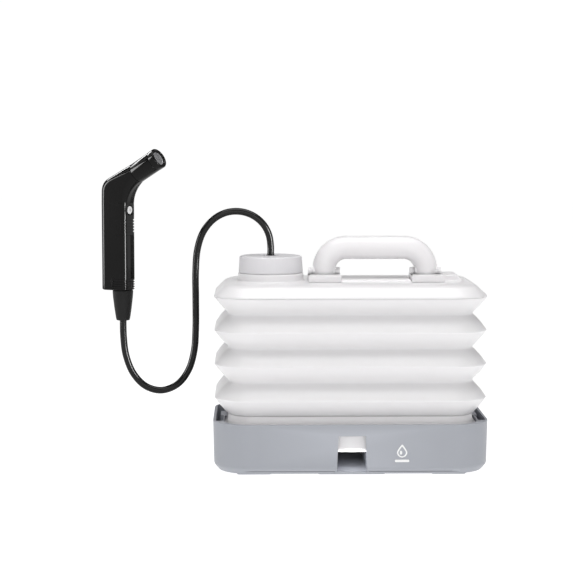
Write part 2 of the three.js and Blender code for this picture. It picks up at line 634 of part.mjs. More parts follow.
const endCap = cut(
  gripOuter.intersect(endSpace(0)),
  prism(plan(GUN.halfL - GUN.wall, GUN.halfW - GUN.wall, 5, 4), GUN.bottom + 2, 240),
  rod('z', [RELIEF.x, 0], GUN.bottom - 1, GUN.bottom + 4, 6, 6, 20));
add('gun_end_cap', ribbed(endCap, 215, 4, 2.9, -1), BLACK, gun);

// Head tube, nozzle ring, spray plate and seal are turned along the head's own axis.
function toHead(geometry) {
  geometry.rotateX(Math.PI / 2);
  geometry.rotateY(Math.PI / 2 - tilt);
  return geometry.translate(FACE.x, 0, FACE.z);
}

function onHead(profile, sides = 28) {
  const points = [...profile, profile[0]].map(([r, d]) => new THREE.Vector2(r, d));
  return outward(toHead(new THREE.LatheGeometry(points, sides)));
}
add('head_tube', onHead([
  [HEAD.r - HEAD.wall, -HEAD.seamBack + GAP],
  [HEAD.r, -HEAD.seamBack + GAP],
  [HEAD.r, -8],
  [HEAD.r - 1.6, -8],
  [HEAD.r - 1.6, -4],
  [HEAD.r - HEAD.wall - 1, -4],
  [HEAD.r - HEAD.wall - 1, -9],
  [HEAD.r - HEAD.wall, -10],
]), BLACK, gun);
add('nozzle_ring', onHead([
  [HEAD.r - 1.6 + GAP, -7.7],
  [HEAD.r + 0.2, -7.7],
  [HEAD.r + 0.2, -1],
  [HEAD.r - 0.8, 0],
  [HEAD.r - 2.6, 0],
  [HEAD.r - 3.4, -1.4],
  [HEAD.r - 3.4, -2.6],
  [HEAD.r - 1.6 + GAP, -2.6],
]), BLACK, gun);
add('plate_seal', onHead([
  [HEAD.r - 3.3, -3.7],
  [HEAD.r - 1.9, -3.7],
  [HEAD.r - 1.9, -2.9],
  [HEAD.r - 3.3, -2.9],
]), RUBBER, gun);

function sprayPlate() {
  const rim = HEAD.r - 3.7;
  const disc = onHead([[0, -7], [rim, -7], [rim, -2.2], [rim - 0.7, -1.7], [0, -1.3]]);
  const hole = (r, angle) => {
    const g = new THREE.CylinderGeometry(0.5, 0.5, 12, 4);
    g.translate(r * Math.cos(angle), 0, r * Math.sin(angle));
    return solid(toHead(g));
  };
  const holes = [hole(0, 0)];
  for (const [count, r] of [[6, 3.4], [8, 6.4]]) {
    for (let i = 0; i < count; i++) holes.push(hole(r, (i / count) * 2 * Math.PI));
  }
  return cut(disc, ...holes);
}
add('spray_plate', sprayPlate(), MESH_GREY, gun);

// Button, its light icon, spring and switch.
const capFace = GUN.halfL - 0.4;
add('trigger_button', cut(
  join(buttonRod(15, capFace, BUTTON.r), buttonRod(15, 15.7, BUTTON.r + 1.4)),
  buttonRod(capFace - 1.2, capFace + 1, 4.6, 16)), BLACK, gun);
add('button_icon', buttonRod(capFace - 0.9, capFace + 0.3, 4.3, 16), WHITE, gun);

const springProfile = [[3.3, 13.2], [4, 13.2], [4, 14.7], [3.3, 14.7], [3.3, 13.2]];
const spring = new THREE.LatheGeometry(springProfile.map(([r, x]) => new THREE.Vector2(r, x)), 16);
spring.rotateZ(-Math.PI / 2);
spring.translate(0, 0, BUTTON.z);
add('button_spring', outward(spring), STEEL, gun);
add('switch', join(
  box(7.2, -4.5, BUTTON.z - 5, 12.9, 4.5, BUTTON.z + 5),
  buttonRod(12.5, 13, 1.6, 12)), BLACK, gun);

// Battery, board, motor, pump and water lines.
add('battery_cell', join(
  rod('z', [CELL.x, 0], CELL.bottom, CELL.top, CELL.r, CELL.r, 24),
  rod('z', [CELL.x, 0], CELL.top - 0.5, CELL.top + 1.5, 3, 3, 12)), CELL_BLUE, gun);
add('control_board', box(4.6, -9, 241, 6.2, 3, 279), BOARD_GREEN, gun);
add('pump_motor', join(
  rod('z', [MOTOR.x, 0], MOTOR.bottom, MOTOR.top, MOTOR.r, MOTOR.r, 20),
  rod('z', [MOTOR.x, 0], MOTOR.top - 1, MOTOR.top + 2, 4, 4, 12)), STEEL, gun);
add('pump_head', cut(
  join(
    rod('z', [PUMP.x, 0], PUMP.bottom, PUMP.top, PUMP.r, PUMP.r, 20),
    rod('z', [PUMP.x, 0], PUMP.top - 1, PUMP.top + 5, 2, 2, 10)),
  rod('z', [PUMP.x, 0], PUMP.bottom - 1, PUMP.bottom + 1.4, 4.3, 4.3, 12)), BLACK, gun);
add('inlet_tube', tube([
  [6.4, 0, 230.4], [6.6, 1.5, 233.5], [6.8, 6, 239], [6.5, 7.3, 250],
  [6.5, 7.3, 285], [5.5, 7.8, 300], [4.2, 7.8, 314],
], 2.2, 12, 8), SILICONE, gun);
add('outlet_tube', tube([
  [PUMP.x, 0, 330.4], [-5.4, 0, 337], [0, 0, 341.5],
  onAxis(58, 2.6).toArray(), onAxis(40).toArray(), onAxis(14).toArray(),
], 3, 8, 8), SILICONE, gun);

// Hose end: strain relief outside the grip, and the barb that leads to the inlet tube.
const reliefBore = HOSE.d / 2 + GAP;
const reliefTop = GUN.bottom - GAP;
add('strain_relief', turned(RELIEF.x, 0, [
  [reliefBore, RELIEF.bottom],
  [RELIEF.rBottom, RELIEF.bottom],
  [RELIEF.rBottom + 1.6, RELIEF.bottom + 9],
  [RELIEF.rTop - 0.9, RELIEF.bottom + 24],
  [RELIEF.rTop, reliefTop],
  [reliefBore, reliefTop],
], 24), RUBBER, gun);
add('hose_barb', turned(RELIEF.x, 0, [
  [0, 219.9], [5, 219.9], [5, 224], [2.2, 226], [2.2, 229.5], [0, 229.5],
], 14), BLACK, gun);

// Charging socket behind a soft cover in the bottom of the grip.
const { back: socketBack, front: socketFront, halfY: socketHalfY } = SOCKET;
add('charge_socket', box(
  socketBack, -socketHalfY, GUN.bottom + 2.2, socketFront, socketHalfY, GUN.bottom + 8), STEEL, gun);
add('socket_cover', box(
  socketBack - GAP / 2, -4.7, GUN.bottom + 0.1, socketFront + GAP / 2, 4.7, GUN.bottom + 1.8), RUBBER, gun);

export default group;
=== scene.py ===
import json
import math

import bmesh
import bpy
import numpy as np
from mathutils import Matrix, Vector


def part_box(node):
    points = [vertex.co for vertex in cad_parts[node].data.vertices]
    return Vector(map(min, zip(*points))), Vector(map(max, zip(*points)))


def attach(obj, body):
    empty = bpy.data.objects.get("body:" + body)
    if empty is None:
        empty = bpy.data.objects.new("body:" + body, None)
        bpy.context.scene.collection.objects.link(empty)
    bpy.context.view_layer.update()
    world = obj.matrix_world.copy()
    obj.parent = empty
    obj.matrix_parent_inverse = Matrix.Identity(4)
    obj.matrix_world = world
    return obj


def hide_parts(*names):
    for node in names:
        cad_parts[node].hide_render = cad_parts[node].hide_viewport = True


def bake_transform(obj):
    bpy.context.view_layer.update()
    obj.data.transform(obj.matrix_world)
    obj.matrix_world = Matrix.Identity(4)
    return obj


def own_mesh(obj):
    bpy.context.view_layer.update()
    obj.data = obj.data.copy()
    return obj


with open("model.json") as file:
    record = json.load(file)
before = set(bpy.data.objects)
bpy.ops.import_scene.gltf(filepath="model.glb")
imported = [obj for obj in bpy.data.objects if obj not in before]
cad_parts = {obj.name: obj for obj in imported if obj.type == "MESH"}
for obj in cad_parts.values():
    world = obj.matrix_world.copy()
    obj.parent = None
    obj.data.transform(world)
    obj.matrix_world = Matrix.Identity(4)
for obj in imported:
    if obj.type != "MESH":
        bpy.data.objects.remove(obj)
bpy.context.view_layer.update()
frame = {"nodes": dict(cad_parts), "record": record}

MM = 0.001

# ------------------------------------------------------------------ places, from the frame
TRAY_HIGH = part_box("base_tray")[1]
PAN_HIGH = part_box("tank_base")[1]
BELLOWS_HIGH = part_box("tank_bellows")[1]
TOP_LOW, TOP_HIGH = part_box("tank_top")
CAP_LOW, CAP_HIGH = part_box("screw_cap")
HANDLE_LOW, HANDLE_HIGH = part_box("handle")
CLIP_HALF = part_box("side_clip_left")[1].y
CAP_X = (CAP_LOW.x + CAP_HIGH.x) / 2
HANDLE_X = (HANDLE_LOW.x + HANDLE_HIGH.x) / 2
DECK = 224.5 * MM
PLEAT_INSET = 17.5 * MM
PITCH = 40.4 * MM
FIRST_VALLEY = 68.1 * MM
TUBE_R = 14.2 * MM
PIVOT_Z = 234.5 * MM
LEG_X = [HANDLE_X - 62.2 * MM, HANDLE_X + 62.2 * MM]
LEG_CLEAR = 20.2 * MM       # from a leg's centre to the raised parts of the deck beside its bracket
PAD_LOW = 227.3 * MM        # top of the deck's middle platform
PAD_HIGH = 232.4 * MM       # top of the brackets and of the pad beside them

GUN_TILT = math.radians(30)
GUN_PLACE = Matrix.Translation((-280.9 * MM, 0, 0)) @ Matrix.Rotation(math.radians(-30), 4, "Z")
GUN_BOTTOM = 213 * MM
GUN_HALF_L = 18 * MM
GUN_HALF_W = 13 * MM
# Limits that lie beyond the grip on every side, for the blocks that cut it.
GUN_BACK, GUN_FRONT, GUN_SIDE = -60 * MM, 90 * MM, 30 * MM
GUN_UNDER, GUN_OVER = 200 * MM, 400 * MM
HEAD_R = 12.5 * MM
HEAD_LENGTH = 37.5 * MM
FACE = Vector((60.5, 0, 374)) * MM
ALONG = Vector((math.cos(GUN_TILT), 0, math.sin(GUN_TILT)))
ACROSS = Vector((-math.sin(GUN_TILT), 0, math.cos(GUN_TILT)))
HEAD_PLACE = GUN_PLACE @ Matrix.Translation(FACE) @ Matrix.Rotation(math.pi / 2 - GUN_TILT, 4, "Y")
BUTTON_Z = 310.4 * MM
HOUSING = (6.5 * MM, 280 * MM, 319 * MM)
END_CAP = (-1.5 * MM, 227 * MM)
RELIEF_X = 6.4 * MM

HOSE_D = 8.4 * MM
# The hose's route, the same points as in the CAD source: out of the cap, over to the left, a hanging loop,
# and up into the hand shower.
ROUTE = [
    (-0.0952, 0, 0.247), (-0.0952, 0, 0.256), (-0.0953, 0, 0.267), (-0.0975, 0, 0.280), (-0.1045, 0, 0.293),
    (-0.117, 0, 0.3033), (-0.133, 0, 0.3082), (-0.150, 0, 0.3066), (-0.1655, 0, 0.298), (-0.1775, 0, 0.283),
    (-0.1845, 0, 0.262), (-0.1868, 0, 0.235), (-0.1868, 0, 0.200), (-0.187, 0, 0.165), (-0.189, 0, 0.138),
    (-0.196, 0, 0.114), (-0.2095, 0, 0.0965), (-0.229, -0.0006, 0.089), (-0.248, -0.0014, 0.094),
    (-0.263, -0.0022, 0.1095), (-0.272, -0.0029, 0.132), (-0.275, -0.0032, 0.156), (-0.2752, -0.0032, 0.190),
    (-0.2752, -0.0032, 0.2195),
]


# ------------------------------------------------------------------ camera, lights, floor
def make_camera():
    """A long lens, a little above the object, turned one degree and pitched down five."""
    data = bpy.data.cameras.new("camera")
    data.sensor_width = 36
    data.lens = 36 * 1800 / 573
    camera = bpy.data.objects.new("camera", data)
    camera.location = (-0.11415, -2.19066, 0.41311)
    camera.rotation_euler = (math.radians(90 - 5.13), 0, math.radians(-1.0))
    bpy.context.scene.collection.objects.link(camera)
    bpy.context.scene.camera = camera


def area_light(name, place, target, size, power, receivers=None):
    data = bpy.data.lights.new(name, "AREA")
    data.shape = "RECTANGLE"
    data.size, data.size_y = size
    data.energy = power
    lamp = bpy.data.objects.new(name, data)
    lamp.location = place
    lamp.visible_camera = False
    lamp.rotation_euler = (Vector(target) - Vector(place)).to_track_quat("-Z", "Y").to_euler()
    bpy.context.scene.collection.objects.link(lamp)
    if receivers:
        lamp.light_linking.receiver_collection = receivers


def make_studio():
    world = bpy.data.worlds.new("studio")
    bpy.context.scene.world = world
    world.use_nodes = True
    tree = world.node_tree
    sky = tree.nodes["Background"]
    place = tree.nodes.new("ShaderNodeTexCoord")
    split = tree.nodes.new("ShaderNodeSeparateXYZ")
    ramp = tree.nodes.new("ShaderNodeMapRange")
    ramp.interpolation_type = "SMOOTHSTEP"
    ramp.inputs["From Min"].default_value = 0.075
    ramp.inputs["From Max"].default_value = 0.22
    ramp.inputs["To Min"].default_value = 1.02
    ramp.inputs["To Max"].default_value = 0.16
    sky.inputs["Color"].default_value = (1, 1, 1, 1)
    tree.links.new(place.outputs["Generated"], split.inputs[0])
    tree.links.new(split.outputs["Z"], ramp.inputs["Value"])
    tree.links.new(ramp.outputs["Result"], sky.inputs["Strength"])
    area_light("key_light", (-0.9, -1.5, 1.6), (0, 0, 0.15), (1.2, 1.2), 6)
    area_light("front_fill", (0.1, -2.6, 0.95), (0, 0, 0.12), (1.8, 0.9), 13)
    area_light("right_light", (1.5, -0.8, 0.7), (0, 0, 0.15), (0.5, 1.4), 2.6)
    area_light("top_light", (0, -0.2, 1.7), (0, 0, 0.1), (1.6, 1.2), 21)
    # Softboxes that only the glossy black pieces reflect.
    area_light("gloss_front", (1.53, -1.26, 0.35), (-0.27, 0, 0.28), (0.6, 1.5), 130, GLOSSY)
    area_light("gloss_left", (-2.44, -0.38, 0.35), (-0.27, 0, 0.28), (0.7, 1.5), 70, GLOSSY)
    area_light("head_light", (-1.2, 0.9, 1.1), (-0.25, 0, 0.35), (0.9, 0.12), 6, GLOSSY)
    area_light("pocket_fill", (0, -0.088, 0.024), (0, 0, 0.002), (0.028, 0.01), 0.009)
    area_light("left_light", (-1.5, 0.1, 0.5), (-0.2, 0, 0.25), (0.35, 1.4), 2)
    view = bpy.context.scene.view_settings
    view.view_transform = "Standard"
    view.look = "None"


# ------------------------------------------------------------------ materials
def node(tree, kind, **values):
    n = tree.nodes.new(kind)
    for key, value in values.items():
        if key in n.inputs:
            n.inputs[key].default_value = value
        else:
            setattr(n, key, value)
    return n


def spread_value(tree, source, low, high):
    """Maps a 0..1 noise to low..high."""
    m = node(tree, "ShaderNodeMapRange")
    m.interpolation_type = "SMOOTHERSTEP"
    m.inputs["From Min"].default_value = 0.2
    m.inputs["From Max"].default_value = 0.8
    m.inputs["To Min"].default_value = low
    m.inputs["To Max"].default_value = high
    tree.links.new(source, m.inputs["Value"])
    return m.outputs["Result"]


def plastic(name, colour, rough, grain=1400, bump=0.04, variation=0.04, wear=0.0, milky=0.0,
            metallic=0.0, blotch=14, waves=0.0, shine=0.5):
    """Moulded plastic, rubber or metal: uneven colour, uneven gloss, fine grain, and worn edges."""
    m = bpy.data.materials.new(name)
    m.use_nodes = True
    tree = m.node_tree
    shader = tree.nodes["Principled BSDF"]
    place = node(tree, "ShaderNodeTexCoord").outputs["Object"]
    cloud = node(tree, "ShaderNodeTexNoise", Scale=blotch, Detail=4.0, Roughness=0.6)
    fine = node(tree, "ShaderNodeTexNoise", Scale=grain, Detail=3.0, Roughness=0.55)
    for n in (cloud, fine):
        tree.links.new(place, n.inputs["Vector"])
    mix = node(tree, "ShaderNodeMix", data_type="RGBA", blend_type="MIX")
    dark = tuple(c * (1 - variation) for c in colour)
    pale = tuple(min(1.0, c * (1 + variation)) for c in colour)
    mix.inputs[6].default_value = (*dark, 1)
    mix.inputs[7].default_value = (*pale, 1)
    tree.links.new(spread_value(tree, cloud.outputs["Fac"], 0, 1), mix.inputs[0])
    result = mix.outputs[2]
    if wear > 0:
        edge = node(tree, "ShaderNodeNewGeometry").outputs["Pointiness"]
        ramp = node(tree, "ShaderNodeMapRange")
        ramp.inputs["From Min"].default_value = 0.52
        ramp.inputs["From Max"].default_value = 0.62
        ramp.inputs["To Max"].default_value = wear
        tree.links.new(edge, ramp.inputs["Value"])
        worn = node(tree, "ShaderNodeMix", data_type="RGBA", blend_type="MIX")
        worn.inputs[7].default_value = (*[min(1.0, c * 1.25 + 0.02) for c in colour], 1)
        tree.links.new(ramp.outputs["Result"], worn.inputs[0])
        tree.links.new(result, worn.inputs[6])
        result = worn.outputs[2]
    tree.links.new(result, shader.inputs["Base Color"])
    tree.links.new(spread_value(tree, cloud.outputs["Fac"], rough * 0.93, min(1, rough * 1.07)),
                   shader.inputs["Roughness"])
    bumps = node(tree, "ShaderNodeBump", Strength=bump, Distance=0.0004)
    tree.links.new(fine.outputs["Fac"], bumps.inputs["Height"])
    normal = bumps.outputs["Normal"]
    if waves > 0:
        swell = node(tree, "ShaderNodeTexNoise", Scale=24, Detail=1.0)
        tree.links.new(place, swell.inputs["Vector"])
        wavy = node(tree, "ShaderNodeBump", Strength=waves, Distance=0.004)
        tree.links.new(swell.outputs["Fac"], wavy.inputs["Height"])
        tree.links.new(normal, wavy.inputs["Normal"])
        normal = wavy.outputs["Normal"]
    tree.links.new(normal, shader.inputs["Normal"])
    shader.inputs["Metallic"].default_value = metallic
    shader.inputs["Specular IOR Level"].default_value = shine
    if milky > 0:
        shader.inputs["Subsurface Weight"].default_value = milky
        shader.inputs["Subsurface Scale"].default_value = 0.006
        shader.inputs["Subsurface Radius"].default_value = (1.0, 0.95, 0.95)
    return m


def make_materials():
    return {
        "tray_grey": plastic("tray_grey", (0.330, 0.343, 0.377), 0.44, grain=1800, bump=0.10, wear=0.6,
                             variation=0.012),
        "tank_white": plastic("tank_white", (0.775, 0.762, 0.772), 0.31, grain=700, bump=0.05,
                              variation=0.0015, milky=0.35, waves=0.05, blotch=9),
        "cap_grey": plastic("cap_grey", (0.655, 0.645, 0.665), 0.42, grain=1500, bump=0.08, wear=0.3,
                            variation=0.02),
        "gloss_black": plastic("gloss_black", (0.0022, 0.0021, 0.0021), 0.085, grain=2500, bump=0.015,
                               variation=0.2, shine=0.14),
        "soft_black": plastic("soft_black", (0.0085, 0.0085, 0.0085), 0.48, grain=2600, bump=0.12,
                              variation=0.15, shine=0.2),
        "hose_black": plastic("hose_black", (0.004, 0.004, 0.004), 0.16, grain=900, bump=0.03, variation=0.2,
                              shine=0.2),
        "steel": plastic("steel", (0.58, 0.58, 0.6), 0.32, grain=1200, bump=0.06, metallic=1.0),
        "mesh_grey": plastic("mesh_grey", (0.30, 0.30, 0.31), 0.38, grain=1200, bump=0.05, metallic=0.5),
        "icon_white": plastic("icon_white", (0.82, 0.82, 0.82), 0.4, grain=1600, bump=0.03, variation=0.01),
        "icon_grey": plastic("icon_grey", (0.45, 0.45, 0.46), 0.45, grain=1600, bump=0.03, variation=0.02),
        "silicone": plastic("silicone", (0.68, 0.70, 0.72), 0.35, grain=1000, bump=0.05, milky=0.3),
        "cell_blue": plastic("cell_blue", (0.05, 0.16, 0.42), 0.35, grain=900, bump=0.04),
        "board_green": plastic("board_green", (0.02, 0.14, 0.06), 0.45, grain=500, bump=0.2, variation=0.25),
    }


# ------------------------------------------------------------------ mesh helpers
def link(name, vertices, faces):
    mesh = bpy.data.meshes.new(name)
    mesh.from_pydata([tuple(map(float, v)) for v in vertices], [], faces)
    mesh.validate()
    mesh.update()
    piece = bpy.data.objects.new(name, mesh)
    bpy.context.scene.collection.objects.link(piece)
    return piece


def plan(half_x, half_y, radius, steps=14):
    """Outline of a rounded rectangle, anticlockwise, as an array of x and y."""
    points = []
    for corner in range(4):
        sx = 1 if corner in (0, 3) else -1
        sy = 1 if corner < 2 else -1
        for i in range(steps + 1):
            a = (corner + i / steps) * math.pi / 2
            points.append((sx * (half_x - radius) + radius * math.cos(a),
                           sy * (half_y - radius) + radius * math.sin(a)))
    return np.array(points)


def rounded(points, steps=5):
    """Replaces each (a, b, r) corner of an open outline by an arc-like curve of about that radius."""
    out = []
    n = len(points)
    for i, (a, b, r) in enumerate(points):
        here = np.array((a, b), float)
        if r <= 0 or i in (0, n - 1):
            out.append(here)
            continue
        before = np.array(points[i - 1][:2], float) - here
        after = np.array(points[i + 1][:2], float) - here
        turn = math.acos(np.clip(before @ after / np.linalg.norm(before) / np.linalg.norm(after), -1, 1))
        reach = min(r / max(math.tan(turn / 2), 1e-3),
                    0.49 * np.linalg.norm(before), 0.49 * np.linalg.norm(after))
        p = here + before / np.linalg.norm(before) * reach
        q = here + after / np.linalg.norm(after) * reach
        for k in range(steps + 1):
            t = k / steps
            out.append((1 - t) ** 2 * p + 2 * t * (1 - t) * here + t * t * q)
    return out


def skin(name, rings, loop=False):
    """Skins rings of equal counts. loop joins the last ring to the first; otherwise the ends are capped."""
    rings = [np.asarray(r, float) for r in rings]
    n = len(rings[0])
    vertices = np.concatenate(rings)
    faces = []
    spans = len(rings) if loop else len(rings) - 1
    for k in range(spans):
        a, b = k * n, ((k + 1) % len(rings)) * n
        for i in range(n):
            j = (i + 1) % n
            faces.append((a + i, a + j, b + j, b + i))
    if not loop:
        last = (len(rings) - 1) * n
        faces.append(tuple(reversed(range(n))))
        faces.append(tuple(last + i for i in range(n)))
    piece = link(name, vertices, faces)
    outward(piece)
    return piece


def outward(piece):
    """Turns every face of a closed mesh to face out."""
    b = bmesh.new()
    b.from_mesh(piece.data)
    bmesh.ops.recalc_face_normals(b, faces=b.faces)
    b.to_mesh(piece.data)
    b.free()


def stack(half_x, half_y, radius, profile, steps=14):
    """Rings of a rounded rectangle, one for each (inset, z) of the profile."""
    rings = []
    for inset, z in profile:
        outline = plan(half_x - inset, half_y - inset, max(radius - inset, 2 * MM), steps)
        rings.append(np.column_stack([outline, np.full(len(outline), z)]))
    return rings


def lathe(name, profile, place, sides=96):
    """Turns a closed (r, z) profile about Z, then puts it in place."""
    rings = []
    for k in range(sides):
        a = 2 * math.pi * k / sides
        rings.append([(r * math.cos(a), r * math.sin(a), z) for r, z in profile])
    piece = skin(name, rings, loop=True)
    piece.data.transform(place)
    outward(piece)
    return piece


def block(name, low, high, place=Matrix.Identity(4)):
    (x0, y0, z0), (x1, y1, z1) = low, high
    corners = [(x, y, z) for z in (z0, z1) for x, y in ((x0, y0), (x1, y0), (x1, y1), (x0, y1))]
    faces = [(3, 2, 1, 0), (4, 5, 6, 7), (0, 1, 5, 4), (1, 2, 6, 5), (2, 3, 7, 6), (3, 0, 4, 7)]
    piece = link(name, corners, faces)
    piece.data.transform(place)
    return piece


def rod(name, axis, centre, start, end, radius, sides=48, place=Matrix.Identity(4)):
    """A cylinder along 'x', 'y' or 'z'; centre holds the other two coordinates."""
    rings = []
    for t in (start, end):
        ring = []
        for k in range(sides):
            a = 2 * math.pi * k / sides
            u, v = centre[0] + radius * math.cos(a), centre[1] + radius * math.sin(a)
            ring.append({"x": (t, u, v), "y": (u, t, v), "z": (u, v, t)}[axis])
        rings.append(ring)
    piece = skin(name, rings)
    piece.data.transform(place)
    outward(piece)
    return piece


def prism(name, outline, y0, y1):
    """A prism along Y over an outline of (x, z)."""
    piece = skin(name, [[(x, y, z) for x, z in outline] for y in (y0, y1)])
    return piece


def apply_modifiers(piece):
    graph = bpy.context.evaluated_depsgraph_get()
    made = bpy.data.meshes.new_from_object(piece.evaluated_get(graph))
    piece.modifiers.clear()
    piece.data = made


def combine(piece, other, how):
    """Boolean of piece with other, which is then removed."""
    m = piece.modifiers.new("boolean", "BOOLEAN")
    m.operation = how
    m.solver = "MANIFOLD"
    m.object = other
    bpy.context.view_layer.update()
    apply_modifiers(piece)
    bpy.data.objects.remove(other)
    return piece


def cut(piece, *others):
    for other in others:
        combine(piece, other, "DIFFERENCE")
    return piece


def join(piece, *others):
    for other in others:
        combine(piece, other, "UNION")
    return piece


def bevel(piece, width, segments=3, angle=32):
    m = piece.modifiers.new("bevel", "BEVEL")
    m.width = width
    m.segments = segments
    m.limit_method = "ANGLE"
    m.angle_limit = math.radians(angle)
    m.use_clamp_overlap = True
    m.harden_normals = False
    bpy.context.view_layer.update()
    apply_modifiers(piece)
    keep_flats(piece)
    return piece


def moulded(piece, voxel, rounds):
    """Remeshes a joined shape and relaxes it, so that its edges come out soft as on a blow moulding."""
    m = piece.modifiers.new("voxel", "REMESH")
    m.mode = "VOXEL"
    m.voxel_size = voxel
    s = piece.modifiers.new("relax", "SMOOTH")
    s.factor = 0.5
    s.iterations = rounds
    bpy.context.view_layer.update()
    apply_modifiers(piece)
    return piece


def smooth(piece, angle=38):
    piece.data.polygons.foreach_set("use_smooth", [True] * len(piece.data.polygons))
    piece.data.set_sharp_from_angle(angle=math.radians(angle))


def keep_flats(piece):
    """Keeps flat faces flat-shaded up to their small bevels."""
    m = piece.modifiers.new("normals", "WEIGHTED_NORMAL")
    m.keep_sharp = True


def dress(piece, slot, *nodes, body=None, angle=38):
    """Smooth shading, material, record slot, the CAD nodes it stands for, and the body it rides on."""
    smooth(piece, angle)
    piece.data.materials.clear()
    piece.data.materials.append(MATERIALS[slot])
    if slot in ("gloss_black", "hose_black"):
        GLOSSY.objects.link(piece)
    if nodes:
        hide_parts(*nodes)
    if body:
        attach(piece, body)
    return piece


def smooth_path(points, count):
    """Centripetal Catmull-Rom curve through the points, resampled to even steps."""
    p = [np.array(q, float) for q in points]
    p = [2 * p[0] - p[1], *p, 2 * p[-1] - p[-2]]
    dense = []
    for i in range(1, len(p) - 2):
        p0, p1, p2, p3 = p[i - 1:i + 3]
        t0 = 0
        t1 = t0 + np.linalg.norm(p1 - p0) ** 0.5
        t2 = t1 + np.linalg.norm(p2 - p1) ** 0.5
        t3 = t2 + np.linalg.norm(p3 - p2) ** 0.5
        for t in np.linspace(t1, t2, 24, endpoint=False):
            a1 = (t1 - t) / (t1 - t0) * p0 + (t - t0) / (t1 - t0) * p1
            a2 = (t2 - t) / (t2 - t1) * p1 + (t - t1) / (t2 - t1) * p2
            a3 = (t3 - t) / (t3 - t2) * p2 + (t - t2) / (t3 - t2) * p3
            b1 = (t2 - t) / (t2 - t0) * a1 + (t - t0) / (t2 - t0) * a2
            b2 = (t3 - t) / (t3 - t1) * a2 + (t - t1) / (t3 - t1) * a3
            dense.append((t2 - t) / (t2 - t1) * b1 + (t - t1) / (t2 - t1) * b2)
    dense.append(p[-2])
    dense = np.array(dense)
    along = np.concatenate([[0], np.cumsum(np.linalg.norm(np.diff(dense, axis=0), axis=1))])
    even = np.linspace(0, along[-1], count)
    return np.column_stack([np.interp(even, along, dense[:, k]) for k in range(3)]), along[-1]


def sweep(name, path, radius, sides=24):
    """A round bar along a path of points, with its section carried without twist."""
    path = np.asarray(path, float)
    tangents = np.gradient(path, axis=0)
    tangents /= np.linalg.norm(tangents, axis=1)[:, None]
    normal = np.cross(tangents[0], (0, 1, 0))
    rings = []
    for p, t in zip(path, tangents):
        normal = normal - t * (normal @ t)
        normal /= np.linalg.norm(normal)
        other = np.cross(t, normal)
        r = radius if np.isscalar(radius) else radius[len(rings)]
        rings.append([p + r * (math.cos(a) * normal + math.sin(a) * other)
                      for a in np.linspace(0, 2 * math.pi, sides, endpoint=False)])
    return skin(name, rings)


# ------------------------------------------------------------------ hose
def make_hose():
    path, length = smooth_path(ROUTE, 220)
    hose = sweep("delivery_hose", path, HOSE_D / 2, 28)
    dress(hose, "hose_black", "hose")
    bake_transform(hose)


# ------------------------------------------------------------------ tray
def make_tray():
    half_x, half_y = TRAY_HIGH.x, TRAY_HIGH.y
    profile = rounded([
        (30 * MM, 1.3 * MM, 0), (7.6 * MM, 1.3 * MM, 2 * MM), (1.2 * MM, 8.5 * MM, 7 * MM),
        (0.6 * MM, 34 * MM, 0), (0, TRAY_HIGH.z, 0.9 * MM), (3 * MM, TRAY_HIGH.z, 0),
    ], 7)
    tray = skin("tray", stack(half_x, half_y, 46 * MM, profile, 20))
    seat = skin("seat", stack(PAN_HIGH.x + 0.6 * MM, PAN_HIGH.y + 0.6 * MM, 33 * MM,
                              [(1 * MM, 4.3 * MM), (0, TRAY_HIGH.z + 2 * MM)], 16))
    cut(tray, seat)
    for x0, x1 in ((-40, 40), (95, 136), (-136, -95)):
        runner = skin(f"runner_{x0}", [
            np.column_stack([plan((x1 - x0) / 2 * MM - i, 84 * MM - i, 3 * MM, 6) + ((x0 + x1) / 2 * MM, 0),
                             np.full(28, z)]) for i, z in ((0.5 * MM, 0), (0, 0.4 * MM), (0, 2 * MM))])
        join(tray, runner)
    window = prism("window", [
        (-18 * MM, 5 * MM), (18 * MM, 5 * MM), (16 * MM, 47.5 * MM), (-16 * MM, 47.5 * MM),
    ], -half_y - 3 * MM, -half_y + 6 * MM)
    cut(tray, window)
    for side in (-1, 1):
        pocket = skin("pocket", [
            np.column_stack([plan(4.5 * MM, 62 * MM, 3.6 * MM, 8) + (side * 157.1 * MM, 0), np.full(36, z)])
            for z in (14 * MM, TRAY_HIGH.z + 3 * MM)])
        x0, x1 = sorted((side * 148 * MM, side * 156 * MM))
        nose_way = block("nose_way", (x0, -CLIP_HALF - 1 * MM, 14 * MM), (x1, CLIP_HALF + 1 * MM, 65 * MM))
        cut(tray, pocket, nose_way)
    for side in (-1, 1):
        wall = block("wall", (side * 19 * MM - 1 * MM, -91 * MM, 3.8 * MM),
                     (side * 19 * MM + 1 * MM, 66 * MM, 26 * MM))
        join(tray, wall)
        for end in (-1, 1):
            y0, y1 = sorted((end * (CLIP_HALF + 0.5 * MM), end * (CLIP_HALF + 4 * MM)))
            x0, x1 = sorted((side * 152 * MM, side * 162 * MM))
            join(tray, block("ear", (x0, y0, 13.5 * MM), (x1, y1, 26 * MM)))
    join(tray, block("back_wall", (-20 * MM, 65.5 * MM, 3.8 * MM), (20 * MM, 68 * MM, 26 * MM)))
    for x in (-110, -65, 65, 110):
        join(tray, block("rib", ((x - 1) * MM, -70 * MM, 3.8 * MM), ((x + 1) * MM, 70 * MM, 26 * MM)))
    bevel(tray, 0.45 * MM, 3, 35)
    dress(tray, "tray_grey", "base_tray", body="root", angle=30)


